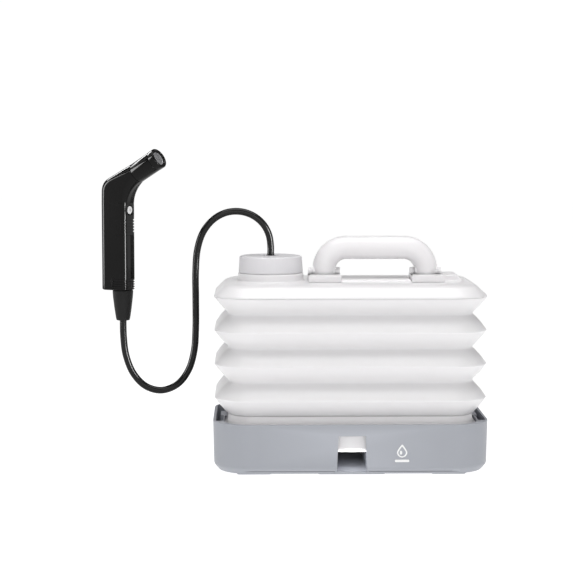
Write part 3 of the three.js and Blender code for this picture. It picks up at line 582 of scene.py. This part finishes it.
def make_mark():
    """A plain water drop over a short bar, printed on the tray's front."""
    outline = []
    for k in range(64):
        a = 2 * math.pi * k / 64
        lift = 1.35 if math.cos(a) > 0 else 1.0
        outline.append((6.2 * MM * math.sin(a) * (1 - 0.6 * max(0, math.cos(a))),
                        6.6 * MM * math.cos(a) * lift))
    x0, z0 = 59 * MM, 28.5 * MM
    y = -TRAY_HIGH.y + 0.75 * MM
    near, far = y - 0.35 * MM, y + 0.4 * MM
    mark = prism("drop_mark", [(x0 + x, z0 + z) for x, z in outline], near, far)
    cut(mark, prism("hollow", [(x0 + x * 0.72, z0 - 0.3 * MM + z * 0.72) for x, z in outline],
                    y - 1 * MM, y + 1 * MM))
    shine = [(x0 - 1.4 * MM + 1.5 * MM * math.cos(a), z0 - 0.8 * MM + 2.4 * MM * math.sin(a))
             for a in np.linspace(0, 2 * math.pi, 24, endpoint=False)]
    bar = [(x0 + x, z0 - 10.6 * MM + z) for x, z in plan(8.5 * MM, 1.5 * MM, 1.2 * MM, 6)]
    join(mark, prism("shine", shine, near, far), prism("bar", bar, near, far))
    dress(mark, "icon_white", body="root")


# ------------------------------------------------------------------ tank
def make_pan():
    neck_x, neck_y = BELLOWS_HIGH.x - PLEAT_INSET, BELLOWS_HIGH.y - PLEAT_INSET
    flange_x, flange_y = PAN_HIGH.x, PAN_HIGH.y
    levels = [
        (flange_x - 9 * MM, flange_y - 9 * MM, 26, 26.5), (flange_x - 6 * MM, flange_y - 6 * MM, 28, 28),
        (flange_x - 5 * MM, flange_y - 5 * MM, 29, 31), (flange_x - 4 * MM, flange_y - 4 * MM, 29, 52.6),
        (flange_x - 0.4 * MM, flange_y - 0.4 * MM, 32, 53.6), (flange_x, flange_y, 32, 54.2),
        (flange_x, flange_y, 32, 57.2), (flange_x - 0.5 * MM, flange_y - 0.5 * MM, 31.6, 57.9),
        (flange_x - 1.2 * MM, flange_y - 1.2 * MM, 31, 58.1),
        (neck_x + 3.2 * MM, neck_y + 4 * MM, 29.5, 58.5),
        (neck_x + 1.9 * MM, neck_y + 2 * MM, 28.6, 59.3), (neck_x + 1 * MM, neck_y + 0.9 * MM, 28, 62),
        (neck_x, neck_y, 27.5, 67.9), (neck_x - 2 * MM, neck_y - 2 * MM, 25.5, 67.9),
        (neck_x - 1 * MM, neck_y - 1 * MM, 26, 55), (flange_x - 8 * MM, flange_y - 8 * MM, 26, 50),
        (flange_x - 9 * MM, flange_y - 9 * MM, 25, 31), (flange_x - 12 * MM, flange_y - 12 * MM, 24, 28.5),
    ]
    rings = []
    for x, y, r, z in levels:
        outline = plan(x, y, r * MM, 18)
        rings.append(np.column_stack([outline, np.full(len(outline), z * MM)]))
    pan = skin("tank_pan", rings)
    dress(pan, "tank_white", "tank_base", body="root", angle=50)


def make_bellows():
    """Four sharp pleats, the top one's upper face belonging to the shoulder."""
    turns = []
    for k in range(8):
        ridge = k % 2 == 1
        z = FIRST_VALLEY + k * PITCH / 2
        turns.append((0 if ridge else PLEAT_INSET, z, (0.9 if ridge else 2.6) * MM))
    turns[0] = (PLEAT_INSET, FIRST_VALLEY + 0.1 * MM, 0)
    turns[-1] = (0, TOP_LOW.z - 0.2 * MM, 0)
    outer = rounded(turns, 6)
    # A slight outward swell between the turns, as on a blow-moulded wall.
    swollen = []
    for (a, z), (b, w) in zip(outer[:-1], outer[1:]):
        swollen.append((a, z))
        if abs(w - z) > 6 * MM:
            for t in np.linspace(0, 1, 8)[1:-1]:
                swollen.append((a + (b - a) * t - 1.1 * MM * math.sin(math.pi * t), z + (w - z) * t))
    swollen.append(tuple(outer[-1]))
    inner = [(inset + 2 * MM, z) for inset, z in reversed(swollen)]
    rings = stack(BELLOWS_HIGH.x, BELLOWS_HIGH.y, 45 * MM, [*swollen, *inner], 18)
    bellows = skin("bellows", rings, loop=True)
    dress(bellows, "tank_white", "tank_bellows", body="root", angle=60)
    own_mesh(bellows)


def make_top():
    """The shoulder and deck with the neck's collar and the raised pads. Its lower edge is cut flat."""
    z0 = TOP_LOW.z
    outer = rounded([
        (20 * MM, z0 - 4 * MM, 0), (0, z0 - 4 * MM, 0), (0, z0 + 1 * MM, 1.2 * MM),
        (12.4 * MM, z0 + 12.6 * MM, 9 * MM),
        (20 * MM, DECK, 8 * MM), (60 * MM, DECK, 0),
    ], 8)
    top = skin("tank_shoulder", stack(TOP_HIGH.x, TOP_HIGH.y, 45 * MM, outer, 18))
    inside = skin("inside", stack(TOP_HIGH.x, TOP_HIGH.y, 45 * MM, [
        (3 * MM, z0 - 6 * MM), (3 * MM, z0 + 0.8 * MM), (15 * MM, z0 + 10.5 * MM), (24 * MM, DECK - 3.2 * MM),
    ], 18))
    cut(top, inside)
    collar = rod("collar", "z", (CAP_X, 0), DECK - 1 * MM, 234 * MM, 40 * MM, 96)
    middle = block("middle", (LEG_X[0] + LEG_CLEAR, -31 * MM, DECK - 1 * MM),
                   (LEG_X[1] - LEG_CLEAR, 37 * MM, PAD_LOW))
    pad = prism("pad", [
        (LEG_X[1] + LEG_CLEAR, DECK - 1 * MM), (138 * MM, DECK - 1 * MM), (131 * MM, PAD_HIGH),
        (LEG_X[1] + LEG_CLEAR, PAD_HIGH),
    ], -22 * MM, 30 * MM)
    stem = rod("stem", "z", (CAP_X, 0), DECK - 1 * MM, TOP_HIGH.z, 33.5 * MM, 96)
    join(top, collar, middle, pad, stem)
    cut(top, rod("bore", "z", (CAP_X, 0), DECK - 6 * MM, TOP_HIGH.z + 2 * MM, 29.5 * MM, 96))
    moulded(top, 1.1 * MM, 5)
    cut(top, block("below", (-0.2, -0.2, z0 - 0.1), (0.2, 0.2, z0)))
    dress(top, "tank_white", "tank_top", body="tank_top", angle=60)


def make_brackets():
    for side, x in zip(("left", "right"), LEG_X):
        bracket = block("bracket_" + side, (x - 19.5 * MM, -40 * MM, DECK + 0.3 * MM),
                        (x + 19.5 * MM, 12 * MM, PAD_HIGH))
        cut(bracket, block("slot", (x - 14.8 * MM, -15.5 * MM, DECK - 2 * MM),
                           (x + 14.8 * MM, 14 * MM, 236 * MM)))
        for s in (-1, 1):
            c = x + s * 17.1 * MM
            ear = rod("ear", "x", (0, PIVOT_Z), c - 2.3 * MM, c + 2.3 * MM, 5.6 * MM, 40)
            join(ear, block("web", (c - 2.3 * MM, -5.6 * MM, 230 * MM), (c + 2.3 * MM, 5.6 * MM, PIVOT_Z)))
            join(bracket, ear)
        cut(bracket, rod("bore", "x", (0, PIVOT_Z), x - 18.6 * MM, x + 18.6 * MM, 3.3 * MM, 32))
        bevel(bracket, 1.1 * MM, 4, 40)
        dress(bracket, "tank_white", "handle_bracket_" + side, body="tank_top", angle=40)


def make_handle():
    """A tubular bow with round corners. Each leg's foot is cut back behind its pin, so that it can fold."""
    top_z = HANDLE_HIGH.z - TUBE_R
    corner = 27 * MM
    foot = PIVOT_Z - 6 * MM
    left, right = LEG_X
    rise = [(left, 0, z) for z in np.linspace(foot, top_z - corner, 14)]
    turns = [math.pi / 2 * k / 20 for k in range(1, 21)]
    bend = [(left + corner * (1 - math.cos(a)), 0, top_z - corner + corner * math.sin(a)) for a in turns]
    bar = [(x, 0, top_z) for x in np.linspace(left + corner, right - corner, 16)[1:-1]]
    half = rise + bend
    path = half + bar + [(left + right - x, y, z) for x, y, z in reversed(half)]
    bow = sweep("carry_handle", path, TUBE_R, 64)
    # Behind the pin the foot keeps above the deck through the whole fold.
    fold = math.radians(70)
    for x in LEG_X:
        heel = []
        for y in (5.0, 16.0):
            heel.append((y * MM, PIVOT_Z + (y * math.sin(fold) - 9.5) / math.cos(fold) * MM))
        (y0, z0), (y1, z1) = heel
        outline = [(y0, z0), (y1, z1), (y1, foot - 8 * MM), (y0, foot - 8 * MM)]
        wedge = skin("wedge", [[(x + d, y, z) for y, z in outline] for d in (-16 * MM, 16 * MM)])
        cut(bow, wedge)
        join(bow, rod("eye", "x", (0, PIVOT_Z), x - 14 * MM, x + 14 * MM, 9 * MM, 64))
        cut(bow, rod("bore", "x", (0, PIVOT_Z), x - 16 * MM, x + 16 * MM, 3.3 * MM, 32))
    dress(bow, "tank_white", "handle", body="handle", angle=50)


# ------------------------------------------------------------------ cap
def make_cap():
    sides, ribs = 360, 60
    top, bottom = CAP_HIGH.z, CAP_LOW.z
    profile = rounded([
        (6.2 * MM, top - 3 * MM, 0), (36.2 * MM, top - 3 * MM, 1 * MM), (36.2 * MM, bottom, 0),
        (38.9 * MM, bottom, 0.3 * MM), (39.2 * MM, bottom + 1.6 * MM, 0.3 * MM),
        (38.2 * MM, top - 1 * MM, 3.2 * MM),
        (35 * MM, top, 1.5 * MM), (9.5 * MM, top, 0.3 * MM), (9.1 * MM, top - 0.6 * MM, 0.3 * MM),
        (7.6 * MM, top - 0.6 * MM, 0.3 * MM), (7.2 * MM, top, 0.3 * MM), (6.2 * MM, top, 0),
    ], 5)
    rings = []
    for k in range(sides):
        a = 2 * math.pi * k / sides
        ring = []
        for r, z in profile:
            height = (z - bottom) / (top - bottom)
            on_side = r > 37.6 * MM and 0.1 < height < 0.9
            depth = 0.22 * MM * (0.5 + 0.5 * math.cos(ribs * a)) if on_side else 0
            ring.append((CAP_X + (r - depth) * math.cos(a), (r - depth) * math.sin(a), z))
        rings.append(ring)
    cap = skin("cap", rings, loop=True)
    dress(cap, "cap_grey", "screw_cap", body="cap", angle=35)


def make_gland():
    place = Matrix.Translation((CAP_X, 0, 0))
    profile = [
        (1.4, 238), (2, 238), (2, 243.3), (8.8, 243.3), (9, 243.5), (9, 251.1), (8.8, 251.3),
        (5.7, 251.3), (5.7, 254.7), (5.5, 255.1), (5.2, 255.2), (4.8, 255.2), (4.5, 255),
        (4.5, 246.5), (1.4, 246.5),
    ]
    gland = lathe("gland", [(r * MM, z * MM) for r, z in profile], place, 64)
    dress(gland, "gloss_black", "hose_gland", body="cap_gland")


def make_suction_line():
    """The clear line from the gland down to the strainer, which shortens as the tank folds."""
    low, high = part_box("suction_hose")
    z0, z1 = low.z, high.z
    wall = [(2.3 * MM, z0), (4.2 * MM, z0)]
    for k in range(1, 40):
        z = z0 + (z1 - z0) * k / 40
        wall.append(((4.2 if k % 2 else 3.8) * MM, z))
    wall += [(4.2 * MM, z1), (2.3 * MM, z1)]
    line = lathe("suction_line", wall, Matrix.Translation((CAP_X, 0, 0)), 32)
    dress(line, "silicone", "suction_hose", body="root", angle=60)
    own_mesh(line)


# ------------------------------------------------------------------ hand shower
def section(front, back, half_w, roundness, inset):
    middle = (front + back) / 2
    reach = front - back
    half_l = reach.length / 2 - inset
    way = reach.normalized()
    w = half_w - inset
    r = (6.5 * MM - inset * 0.6) * (1 - roundness) + (min(half_l, w) - 0.01 * MM) * roundness
    return [middle + way * x + Vector((0, y, 0)) for x, y in plan(half_l, w, r, 12)]


def on_axis(back, lift=0.0):
    return FACE - ALONG * back + ACROSS * lift


def back_path(t):
    """Point at share t along the grip's back: up, round the corner, and along the head's top line."""
    low, tip, high = Vector((-18, 0, 333)) * MM, Vector((-18, 0, 343.5)) * MM, Vector((-9, 0, 348.7)) * MM
    points = [Vector((-18, 0, 316)) * MM]
    for k in range(17):
        u = k / 16
        points.append((1 - u) ** 2 * low + 2 * u * (1 - u) * tip + u * u * high)
    points.append(on_axis(HEAD_LENGTH, HEAD_R))
    lengths = [0]
    for a, b in zip(points[:-1], points[1:]):
        lengths.append(lengths[-1] + (b - a).length)
    want = t * lengths[-1]
    for k in range(len(points) - 1):
        if want <= lengths[k + 1] + 1e-12:
            u = (want - lengths[k]) / (lengths[k + 1] - lengths[k])
            return points[k].lerp(points[k + 1], u)
    return points[-1]


def grip_skin(name, inset):
    """The grip's skin from its bottom to the seam of the head tube."""
    rings = []
    straight_top = 316 * MM
    if inset == 0:
        for k in range(6):
            a = math.pi / 2 * k / 6
            pull = 1.8 * MM * (1 - math.sin(a))
            z = GUN_BOTTOM + 1.8 * MM * (1 - math.cos(a))
            rings.append(section(Vector((GUN_HALF_L - pull, 0, z)), Vector((-GUN_HALF_L + pull, 0, z)),
                                 GUN_HALF_W - pull, 0, 0))
    for z in np.linspace(GUN_BOTTOM + 1.8 * MM, straight_top, 14):
        rings.append(section(Vector((GUN_HALF_L, 0, z)), Vector((-GUN_HALF_L, 0, z)), GUN_HALF_W, 0, inset))
    bend = 32 * MM
    count = 40
    for k in range(1, count + 1):
        t = k / count
        a = math.pi - t * (math.pi / 2 - GUN_TILT)
        on_arc = Vector((GUN_HALF_L + bend + bend * math.cos(a), 0, 317 * MM + bend * math.sin(a)))
        front = on_arc.lerp(on_axis(HEAD_LENGTH, -HEAD_R), t ** 3)
        width = GUN_HALF_W + (HEAD_R - GUN_HALF_W) * t
        rings.append(section(front, back_path(t), width, t * t, inset))
    if inset > 0:
        rings.append([p + ALONG * 6 * MM for p in rings[-1]])
    return skin(name, rings)


def grooves(first, count, pitch, x_back, depth):
    """Cutters for ribs that wrap round the grip's front."""
    made = []
    for i in range(count):
        z = first + i * pitch
        cutter = block("cutter", (x_back, -20 * MM, z), (30 * MM, 20 * MM, z + 1.5 * MM))
        rings = [np.column_stack([plan(GUN_HALF_L - depth, GUN_HALF_W - depth, 6 * MM, 10), np.full(44, h)])
                 for h in (z - 1 * MM, z + 2 * MM)]
        made.append(cut(cutter, skin("core", rings)))
    return made


def make_grip():
    gap = 0.15 * MM
    x_housing, z_low, z_high = HOUSING
    x_end, z_end = END_CAP

    def inner():
        return grip_skin("inner", 2 * MM)

    for name, s, cad in (("grip_left", 1, "gun_shell_left"), ("grip_right", -1, "gun_shell_right")):
        half = cut(grip_skin(name, 0), inner(),
                   block("other_half", (GUN_BACK, -s * GUN_SIDE, GUN_UNDER),
                         (GUN_FRONT, s * 0.05 * MM, GUN_OVER)),
                   block("housing_way", (x_housing - gap, -GUN_SIDE, z_low - gap),
                         (40 * MM, GUN_SIDE, z_high + gap)),
                   block("end_way", (x_end - gap, -GUN_SIDE, GUN_UNDER), (40 * MM, GUN_SIDE, z_end + gap)),
                   block("socket_way", (-15.5 * MM, -5 * MM, 200 * MM), (-11 * MM, 5 * MM, 222 * MM)))
        bevel(half, 0.22 * MM, 2, 40)
        half.data.transform(GUN_PLACE)
        dress(half, "gloss_black", cad, body="root", angle=30)

    housing = grip_skin("housing", 0)
    cut(housing, inner(),
        block("above", (GUN_BACK, -GUN_SIDE, z_high), (GUN_FRONT, GUN_SIDE, GUN_OVER)),
        block("below", (GUN_BACK, -GUN_SIDE, GUN_UNDER), (GUN_FRONT, GUN_SIDE, z_low)),
        block("behind", (GUN_BACK, -GUN_SIDE, GUN_UNDER), (x_housing, GUN_SIDE, GUN_OVER)),
        rod("bore", "x", (0, BUTTON_Z), 10 * MM, 30 * MM, 6.3 * MM, 64),
        rod("dish", "y", (GUN_HALF_L + 18.4 * MM, BUTTON_Z), -30 * MM, 30 * MM, 19.4 * MM, 96),
        *grooves(283.6 * MM, 5, 3.5 * MM, 12.4 * MM, 0.95 * MM))
    bevel(housing, 0.25 * MM, 2, 40)
    housing.data.transform(GUN_PLACE)
    dress(housing, "gloss_black", "button_housing", body="root", angle=30)

    end_cap = grip_skin("end_cap", 0)
    cut(end_cap,
        block("above", (GUN_BACK, -GUN_SIDE, z_end), (GUN_FRONT, GUN_SIDE, GUN_OVER)),
        block("behind", (GUN_BACK, -GUN_SIDE, GUN_UNDER), (x_end, GUN_SIDE, GUN_OVER)),
        skin("hollow", [np.column_stack([plan(16 * MM, 11 * MM, 5 * MM, 10), np.full(44, h)])
                        for h in (215 * MM, 240 * MM)]),
        rod("bore", "z", (RELIEF_X, 0), 205 * MM, 220 * MM, 6 * MM, 48),
        *grooves(214.8 * MM, 4, 2.9 * MM, 0, 0.95 * MM))
    bevel(end_cap, 0.25 * MM, 2, 40)
    end_cap.data.transform(GUN_PLACE)
    dress(end_cap, "gloss_black", "gun_end_cap", body="root", angle=30)


def make_head():
    r = HEAD_R / MM
    tube = rounded([
        (r - 2, -37.2, 0), (r - 0.25, -37.2, 0), (r, -36.9, 0.3), (r, -8.2, 0.2), (r - 0.3, -8, 0),
        (r - 1.6, -8, 0), (r - 1.6, -4, 0), (r - 3, -4, 0), (r - 3, -9, 0), (r - 2, -10, 0),
    ], 3)
    piece = lathe("head", [(a * MM, b * MM) for a, b in tube], HEAD_PLACE, 96)
    dress(piece, "gloss_black", "head_tube", body="root", angle=30)
    ring = rounded([
        (r - 1.3, -7.7, 0), (r + 0.05, -7.7, 0), (r + 0.25, -7.4, 0.2), (r + 0.25, -1.2, 0.8),
        (r - 0.6, -0.1, 0.8), (r - 2.4, 0, 0.6), (r - 3.4, -1.5, 0.3), (r - 3.4, -2.6, 0), (r - 1.3, -2.6, 0),
    ], 5)
    piece = lathe("end_ring", [(a * MM, b * MM) for a, b in ring], HEAD_PLACE, 96)
    dress(piece, "gloss_black", "nozzle_ring", body="root", angle=30)


def make_spray_plate():
    """A fine round grid with a raised rim, behind the nozzle ring."""
    r = HEAD_R / MM - 3.7
    profile = rounded([(0.01, -7, 0), (r, -7, 0), (r, -2.2, 0.4), (r - 0.9, -1.8, 0.3), (r - 1.3, -2.3, 0.2),
                       (0.01, -1.9, 0)], 4)
    plate = lathe("spray_face", [(a * MM, b * MM) for a, b in profile], HEAD_PLACE, 64)
    holes = []
    for ring, count in ((0, 1), (1.9, 6), (3.8, 12), (5.7, 18)):
        for k in range(count):
            a = 2 * math.pi * k / count
            holes.append(rod("hole", "z", (ring * math.cos(a) * MM, ring * math.sin(a) * MM),
                             -4 * MM, 0, 0.5 * MM, 10, HEAD_PLACE))
    bpy.ops.object.select_all(action="DESELECT")
    for h in holes:
        h.select_set(True)
    bpy.context.view_layer.objects.active = holes[0]
    bpy.ops.object.join()
    cut(plate, holes[0])
    dress(plate, "mesh_grey", "spray_plate", body="root", angle=30)


def make_button():
    face = GUN_HALF_L - 0.4 * MM
    turn = GUN_PLACE @ Matrix.Translation((0, 0, BUTTON_Z)) @ Matrix.Rotation(math.pi / 2, 4, "Y")
    ring = rounded([
        (5.05, 16.4, 0), (5.05, 17.2, 0.1), (5.4, 17.6, 0.15), (5.9, 17.1, 0.4), (5.9, 15.7, 0),
        (7.3, 15.7, 0), (7.3, 15, 0), (0.01, 15, 0), (0.01, 16.4, 0),
    ], 4)
    piece = lathe("button_rim", [(a * MM, b * MM) for a, b in ring], turn, 64)
    dress(piece, "gloss_black", "trigger_button", body="trigger", angle=30)
    disc = rounded([(0.01, 16.7, 0), (4.9, 16.7, 0), (4.9, 17.5, 0.4), (4.2, 17.75, 0.4), (0.01, 17.9, 0)], 5)
    piece = lathe("icon_disc", [(a * MM, b * MM) for a, b in disc], turn, 64)
    dress(piece, "icon_white", "button_icon", body="trigger", angle=30)
    drop = [(1.35 * MM * math.sin(a) * (1 - 0.5 * max(0, math.cos(a))), 1.9 * MM * math.cos(a))
            for a in np.linspace(0, 2 * math.pi, 32, endpoint=False)]
    rings = [[Vector((face + d, y, BUTTON_Z + z)) for y, z in drop] for d in (-0.05 * MM, 0.42 * MM)]
    piece = skin("icon_drop", rings)
    piece.data.transform(GUN_PLACE)
    dress(piece, "icon_grey", body="trigger")


def make_spring():
    """A short coil between the switch and the button."""
    first, last = 13.4 * MM, 14.5 * MM
    coil_r = 3.6 * MM
    turns, steps = 2.5, 60
    path = []
    for k in range(steps + 1):
        a = turns * 2 * math.pi * k / steps
        x = first + (last - first) * k / steps
        path.append((x, coil_r * math.cos(a), BUTTON_Z + coil_r * math.sin(a)))
    coil = sweep("coil", path, 0.16 * MM, 10)
    coil.data.transform(GUN_PLACE)
    dress(coil, "steel", "button_spring", body="root")
    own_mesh(coil)


def make_relief():
    low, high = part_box("strain_relief")
    z0, z1 = low.z / MM, high.z / MM
    profile = rounded([
        (4.5, z0, 0), (7.8, z0, 0.5), (8.6, z0 + 2, 2), (10.4, z0 + 14, 8), (12.1, z0 + 28, 6),
        (12.6, z1 - 1.6, 1), (12.2, z1, 0.4), (4.5, z1, 0),
    ], 6)
    place = GUN_PLACE @ Matrix.Translation((RELIEF_X, 0, 0))
    relief = lathe("relief", [(a * MM, b * MM) for a, b in profile], place, 64)
    dress(relief, "soft_black", "strain_relief", body="root", angle=35)


# ------------------------------------------------------------------ the CAD nodes that stay
def finish_cad_nodes():
    slots = {row["node"]: row["material_slot"] for row in frame["record"]["subparts"]}
    for name, piece in frame["nodes"].items():
        if piece.hide_render:
            continue
        piece.data.materials.clear()
        piece.data.materials.append(MATERIALS[slots[name]])
        edge = piece.modifiers.new("bevel", "BEVEL")
        edge.width = 0.2 * MM
        edge.segments = 2
        edge.limit_method = "ANGLE"
        edge.angle_limit = math.radians(50)


def make_floor():
    """A white floor that glows a little, so that it fades into the white background."""
    bpy.ops.mesh.primitive_plane_add(size=12, location=(0, 2, -0.0005))
    floor = bpy.context.object
    floor.name = "floor"
    look = plastic("floor_white", (0.3, 0.3, 0.3), 0.8, grain=60, bump=0.01, variation=0.005)
    shader = look.node_tree.nodes["Principled BSDF"]
    shader.inputs["Emission Color"].default_value = (1, 1, 1, 1)
    shader.inputs["Emission Strength"].default_value = 0.94
    floor.data.materials.append(look)


GLOSSY = bpy.data.collections.new("glossy")
make_camera()
make_studio()
MATERIALS = make_materials()
make_hose()
make_tray()
make_mark()
make_pan()
make_bellows()
make_top()
make_brackets()
make_handle()
make_cap()
make_gland()
make_suction_line()
make_grip()
make_head()
make_spray_plate()
make_button()
make_spring()
make_relief()
finish_cad_nodes()

make_floor()
